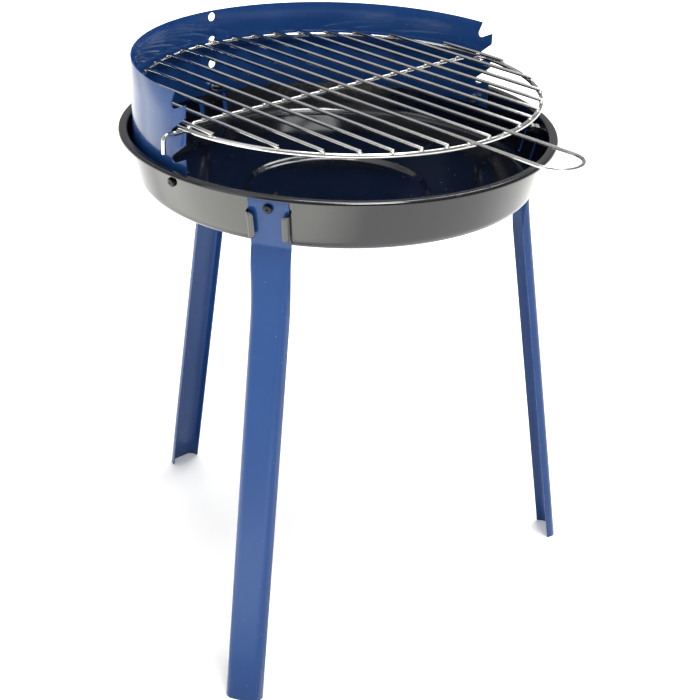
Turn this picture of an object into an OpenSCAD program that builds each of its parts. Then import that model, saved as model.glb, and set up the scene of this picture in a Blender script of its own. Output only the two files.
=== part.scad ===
// Round charcoal grill: a pressed fire bowl on three splayed channel legs, with a wind shield
// round its back half and a wire grate that hooks into the shield at three heights.
// Millimetres, +Z up, standing on z = 0. The grate's handle points to -Y.

/* [Fire bowl] */
// Outside diameter over the rolled lip
rim_d = 360; // [340:1:400]
// Height of the top of the lip above the ground
rim_h = 425; // [360:1:500]
// Thickness of the bowl's sheet
bowl_t = 0.9; // [0.7:0.1:1.2]
// Outside radius of the lip's two bends
lip_r = 2.5; // [2:0.1:3.5]
// Width of the lip's level top, between its bends
lip_flat = 3; // [1:0.25:6]
// How far the lip's outer bend curls under, in degrees past upright
lip_curl = 5; // [0:1:40]
// Lean of the wall from upright, in degrees
wall_tilt = 13; // [10:0.5:16]
// Height of the straight part of the wall
wall_drop = 35; // [30:1:44]
// Radius of the bend from the wall into the floor
corner_r = 10; // [8:0.5:14]
// Fall of the floor towards the centre, in degrees
floor_slope = 8; // [4:0.5:11]
// Diameter of the pressed step in the floor
step_d = 160; // [120:1:200]
// Radius of both bends of the step
step_r = 8; // [5:0.5:10]
// Steepest slope of the step, in degrees
step_tilt = 40; // [25:1:50]

/* [Leg tabs] */
// Distance down the wall from the lip to the top of the lanced tabs
tab_top = 13; // [11:0.5:17]
// Length of a tab down the wall
tab_len = 24; // [16:0.5:26]
// Distance from the leg's middle to a tab's free edge
tab_free = 11; // [8:0.25:13]
// Room between a leg and the tabs that hold it
tab_room = 2.5; // [0.2:0.1:4]

/* [Legs] */
// Distance from the lip out to the foot of a leg
foot_out = 46.5; // [20:0.5:70]
// Thickness of the leg's sheet
leg_t = 1; // [0.8:0.1:1.5]
// Width of the flat upper end that lies on the wall
plate_w = 32; // [30:0.5:40]
// Distance down the wall from the lip to the leg's top edge
plate_top = 2; // [1:0.25:3]
// Width of the flat web of the channel
web_w = 16; // [12:0.5:20]
// Outside radius of the channel's bends
fold_r = 7; // [4:0.25:8]
// Angle through which a flange is folded, in degrees
fold_angle = 75; // [60:1:85]
// Straight part of a flange past its bend
flange_l = 4; // [2:0.25:6]
// Drop from the bowl's lower corner to the bend of the leg
bend_gap = 1.5; // [1:0.25:5]

/* [Wind shield] */
// Thickness of the shield's sheet
shield_t = 0.8; // [0.6:0.1:1.2]
// Strip of sheet above the highest rear hole
shield_edge = 1.75; // [1.5:0.25:8]
// Strip of sheet below the middle of the shield's screws
shield_hem = 5; // [4:0.25:8]
// Distance from the crossbar to the front edge of the shield's ends
shield_front = 13.5; // [11:0.5:18]
// Step between the three heights of the grate
height_pitch = 21; // [18:0.5:26]
// Radius of the closed end of a notch
notch_r = 3; // [2.8:0.1:3.6]
// Slope of the upper edge of a notch, in degrees
mouth_angle = 38; // [32:1:42]
// Slope of the upper edge of the highest notch, in degrees
top_mouth_angle = 67; // [60:1:85]
// Diameter of the rear holes
pin_hole_d = 7.5; // [6.5:0.25:9]

/* [Grate] */
// Height of the ring's middle above the lip, at the middle height
grate_rise = 29.5; // [27:0.5:40]
// Thickness of the ring's wire
ring_d = 4; // [3.5:0.1:5]
// Thickness of the crossbar
bar_d = 3.5; // [3:0.1:4.5]
// Thickness of the thin wires, the handle and the rear pin
wire_d = 3; // [2.5:0.1:3.5]
// Distance from the outermost wire to the middle of the ring's wire
edge_gap = 3.5; // [2:0.25:8]
// How far the wires' ends run past the middle of the ring's wire
wire_end = 0.5; // [0:0.1:1.5]
// Distance from the lip out to the tip of the handle
handle_out = 69.5; // [50:0.5:100]
// Length of the crossbar's hooked ends below its middle
hook_drop = 14; // [10:0.5:16]
// Radius of the hooks' bends
hook_r = 4; // [3:0.25:6]
// Level stretch of the crossbar inside the ring before it rises
low_run = 4; // [2:0.25:8]
// Length over which the crossbar rises to the wires
rise_run = 8; // [5:0.25:14]
// Length of the rear pin past the outside of the shield
pin_tail = 5; // [3:0.25:6]

/* [Fasteners] */
// Thread diameter of the screws
screw_d = 4; // [3:0.5:5]
// Diameter of the screws' pan heads
head_d = 7.6; // [7:0.1:9]
// Height of the pan heads
head_h = 2.6; // [2:0.1:3.2]
// Depth of the cross recess
recess_h = 1.3; // [0.8:0.1:1.6]
// Width of a recess arm
recess_w = 1.1; // [0.8:0.1:1.4]
// Length of the recess from end to end
recess_l = 5; // [4:0.1:6]
// Width of the hexagon nuts across their flats
nut_w = 7; // [6.5:0.1:8.5]
// Height of the nuts
nut_h = 3.2; // [2.4:0.1:4]
// Length of the leg screws under their heads
leg_screw_l = 20; // [14:1:25]
// Length of the shield screws under their heads
shield_screw_l = 16; // [12:1:20]
// Distance down the wall from the lip to the screws
screw_drop = 10; // [8:0.25:11]

/* [Clearances] */
// Paint gap between pieces that are clamped together
seat_gap = 0.2; // [0.1:0.05:0.4]
// Gap round a screw in its hole
hole_gap = 0.25; // [0.15:0.05:0.5]
// Gap round a thread inside its nut
thread_gap = 0.1; // [0.05:0.05:0.2]
// Gap between welded wires
weld_gap = 0.05; // [0.05:0.05:0.15]
// Gap where the grate hangs in the shield
run_gap = 0.3; // [0.2:0.05:0.5]
// Gap between the grate's ring and the shield
ring_gap = 2.2; // [1:0.1:5]
// Gap between the shield's lower edge and the bowl's wall
hem_gap = 0.4; // [0.3:0.05:0.8]
// Gap between the shield and the crossbar's hooked ends
hook_gap = 8; // [1:0.25:10]
// Slope along which the grate is drawn out, in degrees
draw_angle = 25; // [20:0.5:28]

/* [Hidden] */

$fn = 64;
bowl_color = "#2a2c30";
blue_paint = "#3f5f9c";
chrome_color = "#c9ccd0";
screw_color = "#26272a";

// Directions round the axis, in degrees from +X
left_leg = 210;
right_leg = 330;
back_leg = 90;
left_end = 180;
right_end = 0;
leg_angles = [left_leg, right_leg, back_leg];

// Facets of the bends in sheet metal
bend_steps = 8;
// Facets of the bowl, the shield and the grate's ring
round_steps = 128;
// Room for a cut to pass right through a wall
cut = rim_d / 36;

function arc(centre, radius, from, to, steps) =
    [for (i = [0 : steps]) let (a = from + (to - from) * i / steps) centre + radius * [cos(a), sin(a)]];
function reversed(points) = [for (i = [len(points) - 1 : -1 : 0]) points[i]];
function flipped(points) = [for (p = points) [p.x, -p.y]];

// Middle line of the bowl's sheet, as radius and height
lip_mid = lip_r - bowl_t / 2;
lip_out_c = [rim_d / 2 - lip_r, rim_h - lip_r];
lip_in_c = lip_out_c - [lip_flat, 0];
wall_start = lip_in_c + lip_mid * [-cos(wall_tilt), sin(wall_tilt)];
wall_end = wall_start - wall_drop * [tan(wall_tilt), 1];
corner_c = wall_end + corner_r * [-cos(wall_tilt), sin(wall_tilt)];
floor_start = corner_c + corner_r * [sin(floor_slope), -cos(floor_slope)];
floor_fall = (floor_start.x - step_d / 2) * tan(floor_slope);
step_start = [step_d / 2, floor_start.y - floor_fall];
step_c = step_start + step_r * [sin(floor_slope), -cos(floor_slope)];
dish_c = step_c + 2 * step_r * [-sin(step_tilt), cos(step_tilt)];

// One face of the bowl's sheet: side 1 is the inside, side -1 the outside
function bowl_face(side) = let (half = side * bowl_t / 2) concat(
    arc(lip_out_c, lip_mid + half, -lip_curl, 90, bend_steps),
    arc(lip_in_c, lip_mid + half, 90, 180 - wall_tilt, bend_steps),
    arc(corner_c, corner_r - half, -wall_tilt, floor_slope - 90, bend_steps),
    arc(step_c, step_r + half, 90 + floor_slope, 90 + step_tilt, bend_steps),
    arc(dish_c, step_r - half, step_tilt - 90, -90, bend_steps),
    [[0, dish_c.y - step_r + half]]);

// Point on the outside of the wall, at a distance down its slope
function wall_out(down) = wall_start + bowl_t / 2 * [cos(wall_tilt), -sin(wall_tilt)]
    - down * [sin(wall_tilt), cos(wall_tilt)];
// Radius of the wall's inside at a height
function wall_in_r(z) = wall_start.x - bowl_t / 2 * cos(wall_tilt)
    - (wall_start.y + bowl_t / 2 * sin(wall_tilt) - z) * tan(wall_tilt);

// Leg: the flat end lies on the wall, and the channel starts at a bend below the bowl's corner
foot_reach = rim_d / 2 + foot_out;
plate_mid = seat_gap + leg_t / 2;
bend_z = floor_start.y - bowl_t / 2 - bend_gap;
bend_down = (wall_out(0).y - plate_mid * sin(wall_tilt) - bend_z) / cos(wall_tilt);
bend_at = wall_out(bend_down) + plate_mid * [cos(wall_tilt), -sin(wall_tilt)];
splay = atan((foot_reach - bend_at.x) / bend_at.y);
fold_c = [leg_t / 2 - fold_r, web_w / 2];
fold_end = [cos(fold_angle), sin(fold_angle)];
flange_run = flange_l * [-sin(fold_angle), cos(fold_angle)];
channel_l = bend_at.y / cos(splay) + cut;
// The sheet is a little thicker along the bend, where it is upset
knee_d = 1.4 * leg_t;

function channel_face(radius) =
    concat(arc(fold_c, radius, 0, fold_angle, bend_steps), [fold_c + radius * fold_end + flange_run]);

// Tabs that stand off the wall, past the leg, and fold over its edges
tab_x = seat_gap + leg_t + tab_room;
tab_fold = plate_w / 2 + seat_gap;
tab_low = -tab_top - tab_len;
tab_sag = wall_end.x - sqrt(pow(wall_end.x, 2) - pow(tab_fold + bowl_t, 2));
tab_root = -tab_sag - bowl_t / 2;

// Grate, from the ring outwards
shield_bottom = wall_out(screw_drop).y - shield_hem;
shield_out = wall_in_r(shield_bottom) - hem_gap;
shield_in = shield_out - shield_t;
ring_r = shield_in - ring_gap - ring_d / 2;
wires_each_side = 8;
wire_pitch = (ring_r - edge_gap) / wires_each_side;
ring_z = rim_h + grate_rise;
wire_z = ring_z + ring_d / 2 + weld_gap + wire_d / 2;
bar_low = ring_z - ring_d / 2 - weld_gap - bar_d / 2;
bar_high = wire_z - wire_d / 2 - weld_gap - bar_d / 2;
low_x = ring_r - ring_d / 2 - low_run;
high_x = low_x - rise_run;
hook_x = shield_out + hook_gap + bar_d / 2;
handle_reach = rim_d / 2 + handle_out;
loop_y = handle_reach - wire_d / 2 - wire_pitch;
pin_start = ring_r + ring_d / 2 + weld_gap;

// Shield: the pin rests at the bottom of its hole, and the bar at the bottom of its notch
hole_z = ring_z - wire_d / 2 - run_gap + pin_hole_d / 2;
shield_top = hole_z + height_pitch + pin_hole_d / 2 + shield_edge;
notch_z = bar_low - bar_d / 2 - run_gap + notch_r;
notch_run = 2 * shield_front;

// Screws: how far in their nuts sit, measured from the outside of the wall
screw_hole_d = screw_d + 2 * hole_gap;
nut_corner = nut_w / 2 / cos(30);
nut_on_wall = bowl_t + seat_gap;
nut_on_shield = (wall_out(screw_drop).x - shield_in) / cos(wall_tilt)
    + nut_corner * tan(wall_tilt) + seat_gap;

// The origin lies midway between the handle's tip and the back foot
foot_edge = foot_reach + leg_t / 2 / cos(splay);
axis_y = (handle_reach - foot_edge) / 2;

module on_axis() {
    translate([0, axis_y, 0]) children();
}

// Frame on the outside of the wall: X points out of it, Y runs round it and Z runs up it
module on_wall(angle, down) {
    on_axis() rotate(angle) translate([wall_out(down).x, 0, wall_out(down).y])
        rotate([0, wall_tilt, 0]) children();
}

module screw_bore(angle) {
    on_wall(angle, screw_drop) rotate([0, 90, 0])
        cylinder(d = screw_hole_d, h = 2 * cut, center = true);
}

module both_sides() {
    children();
    mirror([0, 1, 0]) children();
}

module tab() {
    translate([tab_x, tab_free, tab_low]) cube([bowl_t, tab_fold + bowl_t - tab_free, tab_len]);
    translate([tab_root, tab_fold, tab_low]) cube([tab_x + bowl_t - tab_root, bowl_t, tab_len]);
}

module tab_window() {
    translate([-cut, tab_free, tab_low]) cube([cut + seat_gap / 2, tab_fold - tab_free, tab_len]);
}

module fire_bowl() {
    color(bowl_color) difference() {
        union() {
            on_axis() rotate_extrude($fn = round_steps) polygon(concat(bowl_face(1), reversed(bowl_face(-1))));
            for (angle = leg_angles) on_wall(angle, 0) both_sides() tab();
        }
        for (angle = leg_angles) on_wall(angle, 0) both_sides() tab_window();
        for (angle = concat(leg_angles, [left_end, right_end])) screw_bore(angle);
    }
}

// Notch round the bar at one height: its lower edge follows the line on which the grate is drawn out
module notch(z, upper_angle) {
    back = arc([0, 0], notch_r, 270 - draw_angle, 450 - upper_angle, bend_steps);
    upper_front = back[bend_steps] + notch_run * [-cos(upper_angle), sin(upper_angle)];
    lower_front = back[0] + notch_run * [-cos(draw_angle), sin(draw_angle)];
    on_axis() translate([0, 0, z]) rotate([90, 0, 90]) linear_extrude(rim_d, center = true)
        polygon(concat(back, [upper_front, lower_front]));
}

module wind_shield() {
    height = shield_top - shield_bottom;
    color(blue_paint) difference() {
        on_axis() translate([0, 0, shield_bottom]) rotate(-90) difference() {
            cylinder(r = shield_out, h = height, $fn = round_steps);
            translate([0, 0, -cut]) cylinder(r = shield_in, h = height + 2 * cut, $fn = round_steps);
            translate([shield_front, -rim_d, -cut]) cube([rim_d, 2 * rim_d, height + 2 * cut]);
        }
        notch(notch_z - height_pitch, mouth_angle);
        notch(notch_z, mouth_angle);
        notch(notch_z + height_pitch, top_mouth_angle);
        for (level = [-1 : 1]) on_axis()
            translate([0, shield_in - cut, hole_z + level * height_pitch]) rotate([-90, 0, 0])
                cylinder(d = pin_hole_d, h = 2 * cut);
        for (angle = [left_end, right_end, back_leg]) screw_bore(angle);
    }
}

module leg(angle) {
    outer = channel_face(fold_r);
    inner = channel_face(fold_r - leg_t);
    color(blue_paint) difference() {
        union() {
            on_wall(angle, 0) translate([seat_gap, -plate_w / 2, -bend_down])
                cube([leg_t, plate_w, bend_down - plate_top]);
            on_axis() rotate(angle) translate([bend_at.x, 0, bend_at.y]) rotate([0, -splay, 0]) {
                rotate([90, 0, 0]) cylinder(d = knee_d, h = web_w, center = true);
                translate([0, 0, -channel_l]) linear_extrude(channel_l)
                    polygon(concat(reversed(flipped(outer)), outer, reversed(inner), flipped(inner)));
            }
        }
        screw_bore(angle);
        translate([-rim_d, -rim_d, -rim_d]) cube([2 * rim_d, 2 * rim_d, rim_d]);
    }
}

// Pan head screw through the wall, its head seated at a distance out from it
module screw(angle, seat, length) {
    crown_r = head_h / 2;
    color(screw_color) on_wall(angle, screw_drop) translate([seat, 0, 0]) rotate([0, 90, 0]) {
        difference() {
            rotate_extrude() polygon(concat([[0, 0], [head_d / 2, 0]],
                arc([head_d / 2 - crown_r, head_h - crown_r], crown_r, 0, 90, bend_steps), [[0, head_h]]));
            for (turn = [0, 90]) rotate(turn)
                translate([-recess_l / 2, -recess_w / 2, head_h - recess_h]) cube([recess_l, recess_w, cut]);
        }
        translate([0, 0, -length]) cylinder(d = screw_d, h = length);
    }
}

module nut(angle, face) {
    color(chrome_color) on_wall(angle, screw_drop) translate([-face - nut_h, 0, 0]) rotate([0, 90, 0])
        difference() {
            cylinder(r = nut_corner, h = nut_h, $fn = 6);
            translate([0, 0, -cut]) cylinder(d = screw_d + 2 * thread_gap, h = nut_h + 2 * cut);
        }
}

module leg_screw(angle) {
    screw(angle, seat_gap + leg_t, leg_screw_l);
}

module shield_screw(angle) {
    screw(angle, seat_gap, shield_screw_l);
}

module grate_ring() {
    color(chrome_color) on_axis() translate([0, 0, ring_z])
        rotate_extrude($fn = round_steps) translate([ring_r, 0]) circle(d = ring_d);
}

// Round bar between two points of the XZ plane
module bar(from, to) {
    run = to - from;
    translate([from.x, 0, from.y]) rotate([0, atan2(run.x, run.y), 0]) cylinder(d = bar_d, h = norm(run));
}

module bar_half() {
    bar([0, bar_high], [high_x, bar_high]);
    translate([high_x, 0, bar_high]) sphere(d = bar_d);
    bar([high_x, bar_high], [low_x, bar_low]);
    translate([low_x, 0, bar_low]) sphere(d = bar_d);
    bar([low_x, bar_low], [hook_x - hook_r, bar_low]);
    translate([hook_x - hook_r, 0, bar_low - hook_r]) rotate([90, 0, 0])
        rotate_extrude(angle = 90) translate([hook_r, 0]) circle(d = bar_d);
    bar([hook_x, bar_low - hook_drop], [hook_x, bar_low - hook_r]);
}

module grate_crossbar() {
    color(chrome_color) on_axis() {
        bar_half();
        mirror([1, 0, 0]) bar_half();
    }
}

// Straight wire along Y
module wire(x, from, to, z) {
    color(chrome_color) on_axis() translate([x, from, z]) rotate([-90, 0, 0])
        cylinder(d = wire_d, h = to - from);
}

function wire_half(x) = sqrt(pow(ring_r + wire_end, 2) - x * x);

module grate_handle() {
    for (side = [-1, 1]) wire(side * wire_pitch, -loop_y, wire_half(wire_pitch), wire_z);
    color(chrome_color) on_axis() translate([0, -loop_y, wire_z]) rotate(180)
        rotate_extrude(angle = 180) translate([wire_pitch, 0]) circle(d = wire_d);
}

module grate_middle_wire() {
    wire(0, -wire_half(0), wire_half(0), wire_z);
}

module grate_pin() {
    wire(0, pin_start, shield_out + pin_tail, ring_z);
}

// Thin wire on one side, counted outwards from the handle
module grate_wire(side, place) {
    x = side * (place + 1) * wire_pitch;
    wire(x, -wire_half(x), wire_half(x), wire_z);
}

fire_bowl();
wind_shield();
leg(left_leg);  // leg_left
leg(right_leg);  // leg_right
leg(back_leg);  // leg_back
leg_screw(left_leg);  // leg_screw_left
leg_screw(right_leg);  // leg_screw_right
leg_screw(back_leg);  // leg_screw_back
nut(left_leg, nut_on_wall);  // leg_nut_left
nut(right_leg, nut_on_wall);  // leg_nut_right
nut(back_leg, nut_on_shield);  // leg_nut_back
shield_screw(left_end);  // shield_screw_left
shield_screw(right_end);  // shield_screw_right
nut(left_end, nut_on_shield);  // shield_nut_left
nut(right_end, nut_on_shield);  // shield_nut_right
grate_ring();
grate_crossbar();
grate_handle();
grate_middle_wire();
grate_pin();
grate_wire(-1, 1);  // wire_left_1
grate_wire(-1, 2);  // wire_left_2
grate_wire(-1, 3);  // wire_left_3
grate_wire(-1, 4);  // wire_left_4
grate_wire(-1, 5);  // wire_left_5
grate_wire(-1, 6);  // wire_left_6
grate_wire(-1, 7);  // wire_left_7
grate_wire(1, 1);  // wire_right_1
grate_wire(1, 2);  // wire_right_2
grate_wire(1, 3);  // wire_right_3
grate_wire(1, 4);  // wire_right_4
grate_wire(1, 5);  // wire_right_5
grate_wire(1, 6);  // wire_right_6
grate_wire(1, 7);  // wire_right_7
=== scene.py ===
"""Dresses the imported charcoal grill: sheets, wires and screws are modelled over the solids and finished."""

import logging
import math
from dataclasses import dataclass, field
from enum import Enum
from math import cos, radians, sin
from typing import Callable, Optional, Sequence

import bmesh
import bpy
from mathutils import Matrix, Vector


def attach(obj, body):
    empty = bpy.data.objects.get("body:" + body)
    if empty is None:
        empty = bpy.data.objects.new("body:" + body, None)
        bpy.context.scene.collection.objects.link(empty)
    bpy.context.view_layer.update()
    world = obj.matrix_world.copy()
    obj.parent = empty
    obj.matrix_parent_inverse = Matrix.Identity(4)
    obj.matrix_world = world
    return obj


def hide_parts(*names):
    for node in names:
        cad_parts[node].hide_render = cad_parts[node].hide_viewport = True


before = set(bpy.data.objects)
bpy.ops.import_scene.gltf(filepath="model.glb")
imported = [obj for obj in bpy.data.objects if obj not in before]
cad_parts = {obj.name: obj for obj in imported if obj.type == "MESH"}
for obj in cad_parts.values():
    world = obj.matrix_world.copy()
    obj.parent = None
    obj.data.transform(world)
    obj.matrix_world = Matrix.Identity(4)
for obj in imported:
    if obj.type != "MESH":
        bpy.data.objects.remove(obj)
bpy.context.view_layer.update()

MM = 0.001
AXIS = Vector((0.0, 11.2465 * MM, 0.0))
ORIGIN = Vector((0.0, 0.0, 0.0))
UPWARDS = Vector((0.0, 0.0, 1.0))
SAME_POINT = 0.002 * MM
Flat = tuple[float, float]
Colour = tuple[float, float, float]
Band = tuple[float, float, float, float]
Piece = bpy.types.Object
Socket = bpy.types.NodeSocket
log = logging.getLogger("grill")


class Body(Enum):
    """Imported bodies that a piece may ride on."""

    STAND = "stand"
    GRATE = "grate"


class Slot(Enum):
    """Material slots of the record."""

    ENAMEL = "black_enamel"
    PAINT = "blue_paint"
    CHROME = "chrome_wire"
    DARK = "dark_steel"
    ZINC = "zinc_steel"


class Pick(Enum):
    """Kinds of mesh element that can be selected."""

    VERT = "VERT"
    EDGE = "EDGE"
    FACE = "FACE"


class Cut(Enum):
    """Ways in which one mesh cuts another."""

    TAKE_AWAY = "DIFFERENCE"
    KEEP_SHARED = "INTERSECT"


class Station(Enum):
    """Places round the bowl's axis, in degrees from +X."""

    SHIELD_RIGHT = 0.0
    LEG_BACK = 90.0
    SHIELD_LEFT = 180.0
    LEG_LEFT = 210.0
    LEG_RIGHT = 330.0


LEG_STATIONS = (Station.LEG_LEFT, Station.LEG_RIGHT, Station.LEG_BACK)


def arc(centre: Flat, radius: float, start: float, end: float, steps: int) -> list[Flat]:
    """Points along an arc in a flat drawing, between two angles in degrees, with both ends among them."""
    angles = [radians(start + (end - start) * i / steps) for i in range(steps + 1)]
    return [(centre[0] + radius * cos(a), centre[1] + radius * sin(a)) for a in angles]


def polygon(radius: float, corners: int) -> list[Flat]:
    """Corners of a regular polygon round the origin."""
    return arc((0.0, 0.0), radius, 0.0, 360.0 * (corners - 1) / corners, corners - 1)


def along(start: Flat, end: Flat, shares: Sequence[float]) -> list[Flat]:
    """Points on a straight line, at shares of the way from its start to its end."""
    return [(start[0] + (end[0] - start[0]) * s, start[1] + (end[1] - start[1]) * s) for s in shares]


def ease(share: float) -> float:
    """Eases a share of the way, so that it starts and ends gently."""
    held = min(1.0, max(0.0, share))
    return held * held * (3.0 - 2.0 * held)


def turned(degrees: float, axis: str = "Z") -> Matrix:
    """Turns about an axis through the origin."""
    return Matrix.Rotation(radians(degrees), 4, axis)


def clear_selection() -> None:
    """Goes back to object mode with nothing selected, so that an operator acts on one piece only."""
    if bpy.context.mode != "OBJECT":
        close_edit()
    bpy.ops.object.select_all(action="DESELECT")


def activate(piece: Piece) -> None:
    """Makes one piece the only one selected, and the active one."""
    clear_selection()
    piece.select_set(True)
    bpy.context.view_layer.objects.active = piece


def edit(piece: Piece) -> None:
    """Opens one piece in edit mode, with all its vertices selected."""
    activate(piece)
    bpy.ops.object.mode_set(mode="EDIT")
    bpy.ops.mesh.select_mode(type=Pick.VERT.value)
    bpy.ops.mesh.select_all(action="SELECT")


def close_edit() -> None:
    """Goes back to object mode."""
    bpy.ops.object.mode_set(mode="OBJECT")


def close_outwards() -> None:
    """Merges points that fall together, points the faces outwards and goes back to object mode."""
    bpy.ops.mesh.select_all(action="SELECT")
    bpy.ops.mesh.remove_doubles(threshold=SAME_POINT)
    bpy.ops.mesh.normals_make_consistent(inside=False)
    close_edit()


def extrude(move: Sequence[float]) -> None:
    """Extrudes what is selected along a straight line."""
    bpy.ops.mesh.extrude_region_move(TRANSFORM_OT_translate={"value": move})


def named(name: str) -> Piece:
    """Names the object that an operator has just added, and its mesh."""
    piece = bpy.context.object
    piece.name = name
    piece.data.name = name
    return piece


def pick(kind: Pick, test: Callable[[object], bool]) -> None:
    """Selects, in edit mode, the elements that pass a test.

    Args:
        kind: The kind of element to select.
        test: Says whether an element is selected.
    """
    bpy.ops.mesh.select_mode(type=kind.value)
    bpy.ops.mesh.select_all(action="DESELECT")
    mesh = bpy.context.edit_object.data
    shape = bmesh.from_edit_mesh(mesh)
    for element in {Pick.VERT: shape.verts, Pick.EDGE: shape.edges, Pick.FACE: shape.faces}[kind]:
        if test(element):
            element.select_set(True)
    shape.select_flush_mode()
    bmesh.update_edit_mesh(mesh)


def settle(piece: Piece, place: Matrix) -> None:
    """Moves a piece to its place, and applies the move so that its object stays at the origin."""
    activate(piece)
    piece.matrix_world = place
    bpy.ops.object.transform_apply(location=True, rotation=True, scale=True)


def trace(name: str, points: Sequence[Vector], closed: bool = False) -> Piece:
    """Draws a line of edges by extruding one vertex from point to point.

    Args:
        name: Name of the new piece.
        points: Points that the line passes through.
        closed: Whether the line is closed and filled.

    Returns:
        The new piece, in object mode.
    """
    clear_selection()
    bpy.ops.mesh.primitive_plane_add(size=MM)
    piece = named(name)
    settle(piece, Matrix.Translation(points[0]))
    edit(piece)
    bpy.ops.mesh.merge(type="CENTER")
    for start, end in zip(points, points[1:]):
        bpy.ops.mesh.extrude_vertices_move(TRANSFORM_OT_translate={"value": end - start})
    if closed:
        bpy.ops.mesh.select_all(action="SELECT")
        bpy.ops.mesh.edge_face_add()
    close_edit()
    return piece


def spin_round(piece: Piece, centre: Vector, degrees: float, steps: int) -> None:
    """Spins a drawn line about an upright axis into a sheet.

    Args:
        piece: The drawn line.
        centre: A point on the axis.
        degrees: Angle of the spin.
        steps: Number of steps round it.
    """
    edit(piece)
    bpy.ops.mesh.spin(steps=steps, angle=radians(degrees), center=centre, axis=UPWARDS)
    close_outwards()


def prism(name: str, outline: Sequence[Vector], move: Sequence[float]) -> Piece:
    """Fills a closed outline and extrudes it along a straight line.

    Args:
        name: Name of the new piece.
        outline: Corners of the outline.
        move: Where the extrusion ends, from its start.

    Returns:
        The prism.
    """
    piece = trace(name, outline, closed=True)
    edit(piece)
    extrude(move)
    close_outwards()
    return piece


def modify(piece: Piece, kind: str, **settings: object) -> None:
    """Adds a modifier to a piece and applies it.

    Args:
        piece: The piece to change.
        kind: Blender's name for the modifier.
        **settings: Values of the modifier's own settings.
    """
    activate(piece)
    modifier = piece.modifiers.new(kind.lower(), kind)
    for key, value in settings.items():
        setattr(modifier, key, value)
    bpy.ops.object.modifier_apply(modifier=modifier.name)


def thicken_sheet(piece: Piece, thickness: float) -> None:
    """Gives a sheet its thickness, half on each side."""
    modify(piece, "SOLIDIFY", thickness=thickness, offset=0.0, use_even_offset=True)


def carve(piece: Piece, tool: Piece, cut: Cut = Cut.TAKE_AWAY) -> None:
    """Cuts a piece with a tool mesh, which is then thrown away.

    Args:
        piece: The piece to cut.
        tool: The closed mesh that cuts it.
        cut: What is kept.
    """
    modify(piece, "BOOLEAN", object=tool, operation=cut.value, solver="EXACT")
    mesh = tool.data
    bpy.data.objects.remove(tool)
    bpy.data.meshes.remove(mesh)


def soften(piece: Piece, width: float, corner: float = 40.0, rounds: int = 2) -> None:
    """Breaks the edges of a piece that bend by more than an angle in degrees, and smooths the rest."""
    modify(piece, "BEVEL", width=width, segments=rounds, limit_method="ANGLE", angle_limit=radians(corner),
           use_clamp_overlap=True, miter_outer="MITER_ARC")
    smooth(piece)


def smooth(piece: Piece, corner: float = 35.0) -> None:
    """Shades a piece smooth, apart from its sharp corners."""
    activate(piece)
    bpy.ops.object.shade_smooth_by_angle(angle=radians(corner))


def copy_of(piece: Piece, name: str) -> Piece:
    """Copies a piece, with a mesh of its own and a new name."""
    activate(piece)
    bpy.ops.object.duplicate(linked=False)
    return named(name)


def joined(name: str, pieces: Sequence[Piece]) -> Piece:
    """Joins several pieces into one.

    Args:
        name: Name of the joined piece.
        pieces: The pieces, of which the first takes in the others.

    Returns:
        The joined piece.
    """
    activate(pieces[0])
    for piece in pieces[1:]:
        piece.select_set(True)
    bpy.ops.object.join()
    return named(name)


def rounded(points: Sequence[Vector], radius: float, steps: int = 6) -> list[Vector]:
    """Rounds the corners of a line.

    Args:
        points: The line's corners.
        radius: Radius of the bends.
        steps: Steps in each bend.

    Returns:
        Points of the rounded line.
    """
    line = [points[0]]
    for before, corner, after in zip(points, points[1:], points[2:]):
        back, on = (before - corner).normalized(), (after - corner).normalized()
        half = back.angle(on) / 2.0
        run = radius / math.tan(half)
        middle = corner + (back + on).normalized() * (radius / sin(half))
        first, last = corner + back * run - middle, corner + on * run - middle
        spokes = [first.slerp(last, i / steps) for i in range(steps + 1)]
        line += [middle + spoke.normalized() * radius for spoke in spokes]
    return line + [points[-1]]


def thicken_wire(piece: Piece, radius: float, rounds: int = 6) -> None:
    """Gives a drawn line the thickness of a round wire.

    Args:
        piece: The drawn line, open or closed.
        radius: Half of the wire's thickness.
        rounds: How finely the wire is rounded.
    """
    activate(piece)
    bpy.ops.object.convert(target="CURVE")
    line = piece.data
    line.dimensions = "3D"
    line.bevel_depth = radius
    line.bevel_resolution = rounds
    line.use_fill_caps = True
    bpy.ops.object.convert(target="MESH")
    piece.data.name = piece.name
    edit(piece)
    close_outwards()


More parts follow.
